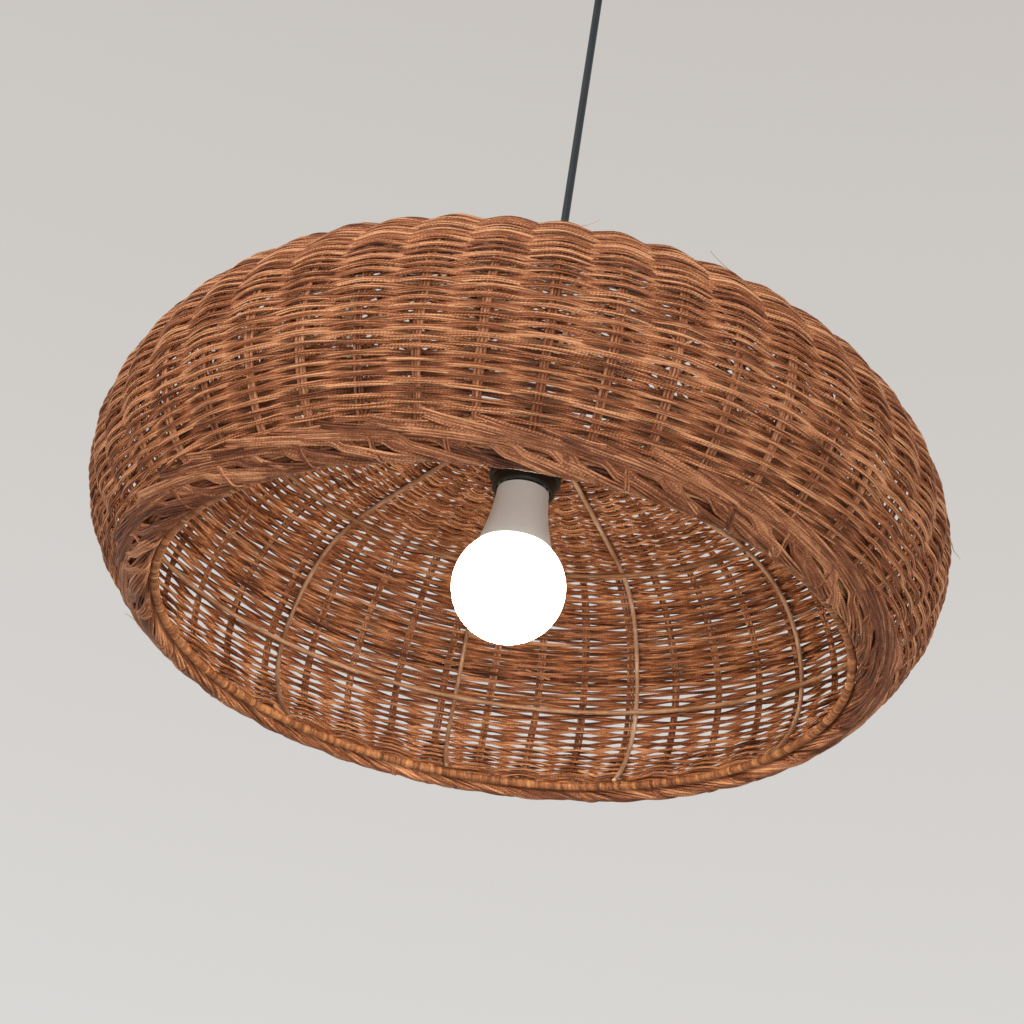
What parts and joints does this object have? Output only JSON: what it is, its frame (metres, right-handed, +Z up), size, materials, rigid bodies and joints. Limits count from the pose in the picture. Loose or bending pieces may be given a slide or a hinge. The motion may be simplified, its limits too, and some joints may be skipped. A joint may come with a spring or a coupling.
{
  "type": "pendant ceiling light",
  "caption": "Woven rattan bowl shade on a round cord from a ceiling canopy, with a screw lampholder, shade ring and glowing bulb; swings, twists and comes apart.",
  "frame": {"origin": "centre of the ceiling bracket's top face, which lies on the ceiling", "axes": "+Z up into the ceiling and along the cord, +X along the bracket towards its right thumb screw"},
  "size_m": [0.4529, 0.453, 0.5388],
  "materials": {
    "zinc_steel": "satin",
    "nylon_natural": "matte",
    "brass": "satin",
    "black_paint": "satin",
    "black_plastic": "satin",
    "cord_sheath": "satin",
    "core_brown": "gloss",
    "core_blue": "gloss",
    "porcelain": "gloss",
    "frame_wire": "satin",
    "cane_wrap": "satin",
    "rattan_border": "satin",
    "rattan_weave": "satin",
    "diffuser": "matte",
    "collar_plastic": "satin",
    "aluminium": "satin",
    "nickel_cap": "satin",
    "black_glass": "gloss",
    "board_white": "satin",
    "led_phosphor": "satin",
    "board_green": "satin",
    "components": "satin"
  },
  "bodies": {
    "ceiling_bracket": {"mounting_bracket": "zinc_steel", "terminal_block": "nylon_natural", "terminal_sleeves": "brass", "terminal_screws": "zinc_steel", "block_screw": "zinc_steel"},
    "thumb_screw_left": {"thumb_screw_left": "black_plastic"},
    "thumb_screw_right": {"thumb_screw_right": "black_plastic"},
    "canopy": {"canopy": "black_paint", "cord_grip": "black_plastic", "grip_locknut": "zinc_steel", "grip_screw": "black_plastic", "cord_tail": "cord_sheath", "live_core_top": "core_brown", "neutral_core_top": "core_blue"},
    "cord_bend": {"cord_bend": "cord_sheath"},
    "cord": {"cord": "cord_sheath"},
    "lampholder": {"holder_cap": "black_plastic", "holder_cord_clamp": "black_plastic", "clamp_screw": "black_plastic", "holder_insert": "porcelain", "holder_terminals": "brass", "holder_screws": "zinc_steel", "screw_shell": "brass", "holder_sleeve": "black_plastic", "cord_end": "cord_sheath", "live_core_holder": "core_brown", "neutral_core_holder": "core_blue"},
    "centre_contact": {"centre_contact": "brass"},
    "shade": {"fitter_ring": "frame_wire", "spider_arms": "frame_wire", "crown_ring": "frame_wire", "rib_1": "frame_wire", "rib_2": "frame_wire", "rib_3": "frame_wire", "rib_4": "frame_wire", "rib_5": "frame_wire", "rib_6": "frame_wire", "rib_7": "frame_wire", "rib_8": "frame_wire", "rib_9": "frame_wire", "rib_10": "frame_wire", "rib_11": "frame_wire", "rib_12": "frame_wire", "upper_hoop": "frame_wire", "lower_hoop": "frame_wire", "rim_ring": "frame_wire", "rim_wrap": "cane_wrap", "rim_border": "rattan_border", "woven_shell": "rattan_weave"},
    "shade_ring": {"shade_ring": "black_plastic"},
    "bulb": {"bulb_diffuser": "diffuser", "bulb_collar": "collar_plastic", "heat_spreader": "aluminium", "bulb_cap": "nickel_cap", "cap_insulator": "black_glass", "cap_contact": "nickel_cap", "led_board": "board_white", "led_chips": "led_phosphor", "driver_board": "board_green", "driver_parts": "components"}
  },
  "joints": [
    {"name": "thumb_left_undo", "type": "slide", "parent": "ceiling_bracket", "child": "thumb_screw_left", "axis": [-1, 0, 0], "range_m": [0, 0.0025]},
    {"name": "thumb_right_undo", "type": "slide", "parent": "ceiling_bracket", "child": "thumb_screw_right", "axis": [1, 0, 0], "range_m": [0, 0.0025]},
    {"name": "canopy_drop", "type": "slide", "parent": "ceiling_bracket", "child": "canopy", "axis": [0, 0, 1], "range_m": [-0.04, 0], "deforming": ["live_core_top", "neutral_core_top"]},
    {"name": "swing_front_back", "type": "hinge", "parent": "canopy", "child": "cord_bend", "pos_m": [0, 0, -0.04], "axis": [1, 0, 0], "range_deg": [-15, 15]},
    {"name": "swing_side", "type": "hinge", "parent": "cord_bend", "child": "cord", "pos_m": [0, 0, -0.04], "axis": [0, 1, 0], "range_deg": [-15, 15]},
    {"name": "cord_twist", "type": "hinge", "parent": "cord", "child": "lampholder", "pos_m": [0, 0, -0.376], "axis": [0, 0, 1], "range_deg": [-180, 180]},
    {"name": "contact_press", "type": "slide", "parent": "lampholder", "child": "centre_contact", "axis": [0, 0, 1], "range_m": [0, 0.0015], "stiffness_N_per_m": 300, "springref_m": -0.001},
    {"name": "shade_lower", "type": "slide", "parent": "lampholder", "child": "shade", "axis": [0, 0, 1], "range_m": [-0.014, 0]},
    {"name": "shade_ring_turn", "type": "hinge", "parent": "shade", "child": "shade_ring", "pos_m": [0, 0, -0.423], "axis": [0, 0, 1], "range_deg": [0, 1260]},
    {"name": "bulb_out", "type": "slide", "parent": "lampholder", "child": "bulb", "axis": [0, 0, 1], "range_m": [-0.028, 0]}
  ],
  "couplings": [
    {"joint": "shade_ring_turn", "follows": "shade_lower", "rad_per_m": -1570.8}
  ]
}
